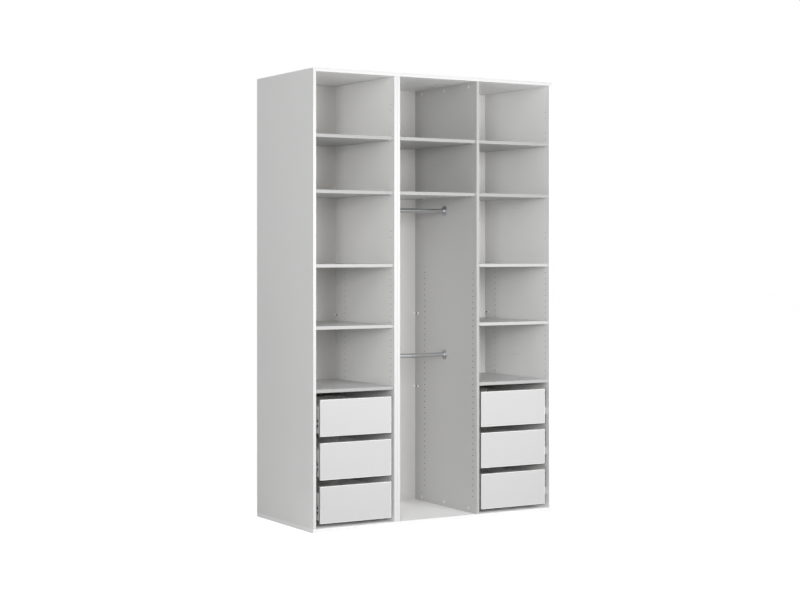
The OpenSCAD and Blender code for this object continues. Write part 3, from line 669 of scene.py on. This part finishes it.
plain_pin = {**pin_sizes, "Collar Diameter": 0.005, "Collar Height": 0.0001}
pin_kinds = {"collared_shelf_pins": (True, pin_sizes), "plain_shelf_pins": (False, plain_pin)}
for name, (collared, sizes) in pin_kinds.items():
    fitting(
        name, shelf_pin, sizes, pin_places[collared], pin_facings[collared], nickel,
        ["shelf_pins"],
    )


# Back clips. A moulded boss plugs into the upright, and a folded strip of spring steel reaches back
# from it to an oval claw, which holds the back panel forward.
def clip_caps(
    shape, boss_diameter, boss_height, plug_diameter, plug_length, arm, claw_width, claw_height,
    claw_depth,
):
    """The round boss that plugs into the upright, and the oval claw in front of the back panel."""
    boss, plug = 0.5 * boss_diameter, 0.5 * plug_diameter
    deep = 0 - plug_length
    cap = turned(shape, [
        (0, deep), (plug, deep), (plug, 0), (boss, 0), (boss, 0.5 * boss_height),
        (0.93 * boss, 0.85 * boss_height), (0.8 * boss, boss_height), (0.3 * boss, boss_height),
        (0.24 * boss, 0.6 * boss_height), (0, 0.6 * boss_height),
    ])
    away = shape.node("ShaderNodeCombineXYZ", {"Y": 0 - arm})
    cap = shape.node("GeometryNodeTransform", {"Geometry": cap, "Translation": away})
    claw = turned(shape, [
        (0, 0), (0.5, 0), (0.5, 0.55), (0.46, 0.8), (0.36, 0.95), (0.2, 1), (0, 1),
    ])
    stretch = shape.node("ShaderNodeCombineXYZ", {"X": claw_height, "Y": claw_width, "Z": claw_depth})
    out = shape.node("ShaderNodeCombineXYZ", {"Z": 0.5 * claw_width})
    claw = shape.node(
        "GeometryNodeTransform",
        {"Geometry": claw, "Translation": out, "Rotation": (radians(90), 0, 0), "Scale": stretch},
    )
    return shape.node("GeometryNodeJoinGeometry", {"Geometry": [cap, claw]})


def clip_strap(shape, arm, width, thickness, start):
    """A folded strip of spring steel that runs from the boss to the claw."""
    length = arm - start
    strip_size = shape.node("ShaderNodeCombineXYZ", {"X": width, "Y": length, "Z": thickness})
    strip = shape.node("GeometryNodeMeshCube", {"Size": strip_size})
    place = shape.node("ShaderNodeCombineXYZ", {"Y": 0 - start - 0.5 * length, "Z": 0.5 * thickness})
    rib_size = shape.node("ShaderNodeCombineXYZ", {"X": 0.3 * width, "Y": length, "Z": 0.4 * thickness})
    rib = shape.node("GeometryNodeMeshCube", {"Size": rib_size})
    rib_place = shape.node("ShaderNodeCombineXYZ", {"Y": 0 - start - 0.5 * length, "Z": 1.2 * thickness})
    parts = [
        shape.node("GeometryNodeTransform", {"Geometry": strip, "Translation": place}),
        shape.node("GeometryNodeTransform", {"Geometry": rib, "Translation": rib_place}),
    ]
    return shape.node("GeometryNodeJoinGeometry", {"Geometry": parts})


white_plastic = plain_finish("white_plastic", (0.94, 0.94, 0.93), 0.35, 500.0, 0.00005)
# The strap is painted dark, as painted shade between the white boss and claw.
strap_shade_steel = plain_finish("strap_shade_steel", (0.20, 0.20, 0.21), 0.4, 300.0, 0.00005, 1.0)
clip_sizes = {
    "Boss Diameter": 0.015, "Boss Height": 0.002, "Plug Diameter": 0.010, "Plug Length": 0.0085,
    "Arm": 0.031, "Claw Width": 0.016, "Claw Height": 0.010, "Claw Depth": 0.006,
}
strap_sizes = {"Arm": clip_sizes["Arm"], "Width": 0.006, "Thickness": 0.0011, "Start": 0.003}
clip_low, clip_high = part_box("back_clips")
boss_radius = 0.5 * clip_sizes["Boss Diameter"]
clip_heights = (clip_low.z + boss_radius, clip_high.z - boss_radius)
clip_places, clip_facings = [], []
for faces in bay_walls.values():
    for face, way in zip(faces, (1, -1)):
        for z in clip_heights:
            clip_places.append((face, clip_high.y, z))
            clip_facings.append((way, 0, 0))
fitting(
    "back_clip_caps", clip_caps, clip_sizes, clip_places, clip_facings, white_plastic,
    ["back_clips"],
)
fitting(
    "back_clip_straps", clip_strap, strap_sizes, clip_places, clip_facings, strap_shade_steel,
    ["back_clips"],
)


# Cam fittings and their caps. Cast zinc cams draw each upright to its end boards, and low moulded
# caps hide them, white in the sides and grey in the divider.
def cam_cap(shape, diameter, height):
    rim = 0.5 * diameter
    return turned(shape, [
        (0, 0), (rim, 0), (rim, 0.35 * height), (rim - 0.0003, 0.65 * height),
        (rim - 0.0010, 0.82 * height), (0.55 * rim, 0.95 * height), (0, height),
    ])


dress("cam_fittings", zinc)
# Each upright's cams are in its right face (1) or its left one (-1)
cam_faces = {
    "left_unit_left_side": 1, "left_unit_right_side": -1, "wide_unit_left_side": 1,
    "wide_unit_divider": -1, "wide_unit_right_side": -1,
}
cam_setbacks = (0.081, 0.333, 0.573)
cam_end = 0.024
cap_sizes = {"Diameter": 0.018, "Height": 0.001}
cap_white = plain_finish("cap_white", (0.83, 0.83, 0.825), 0.35, 500.0, 0.00005)
cap_grey = plain_finish("cap_grey", (0.68, 0.68, 0.675), 0.35, 500.0, 0.00005)
for group, cap_colour in (("side", cap_white), ("divider", cap_grey)):
    cap_places, cap_facings = [], []
    for node, way in cam_faces.items():
        if node.endswith(group):
            low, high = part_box(node)
            for setback in cam_setbacks:
                for z in (low.z + cam_end, high.z - cam_end):
                    cap_places.append((high.x if way > 0 else low.x, low.y + setback, z))
                    cap_facings.append((way, 0, 0))
    fitting(
        group + "_cam_caps", cam_cap, cap_sizes, cap_places, cap_facings, cap_colour,
        ["cam_caps"],
    )


# Unit joining bolts. A zinc-plated screw and a sleeve nut meet inside both middle sides, and each
# has a low domed head with a cross recess.
join_sizes = {
    "Head Diameter": 0.012, "Head Height": 0.0015, "Shank Diameter": 0.008, "Shank Length": 0.017,
    "Recess Width": 0.0014,
}
front_row, rear_row = hole_rows
low_join, high_join = 0.208, 1.776
join_rows = ((front_row, low_join), (rear_row, low_join), (rear_row, high_join))
join_faces = ((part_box("left_unit_right_side")[0].x, -1), (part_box("wide_unit_left_side")[1].x, 1))
join_places, join_facings = [], []
for face, way in join_faces:
    for y, z in join_rows:
        join_places.append((face, y, z))
        join_facings.append((way, 0, 0))
fitting(
    "joining_screws_and_nuts", screw, join_sizes, join_places, join_facings, zinc,
    ["unit_joining_bolts"],
)


# Wooden dowels. Beech, cut to length and glued into the ends of the uprights. They line the boards
# up beside the cam fittings and are hidden in the joints.
beech, paint, out = new_material("beech")
place = paint.node("ShaderNodeTexCoord", output="Object")
along = paint.node("ShaderNodeMapping", {0: place, 3: (700.0, 700.0, 40.0)})
grain = paint.node("ShaderNodeTexNoise", {"Vector": along, "Scale": 1.0, "Detail": 4.0})
beech_tone = grain.mix((0.45, 0.29, 0.15, 1), (0.67, 0.50, 0.31, 1))
shader = paint.node(
    "ShaderNodeBsdfPrincipled", {"Base Color": beech_tone, "Roughness": 0.55 + 0.2 * grain},
)
paint.tree.links.new(shader.socket, out.inputs["Surface"])
dress("wooden_dowels", beech)
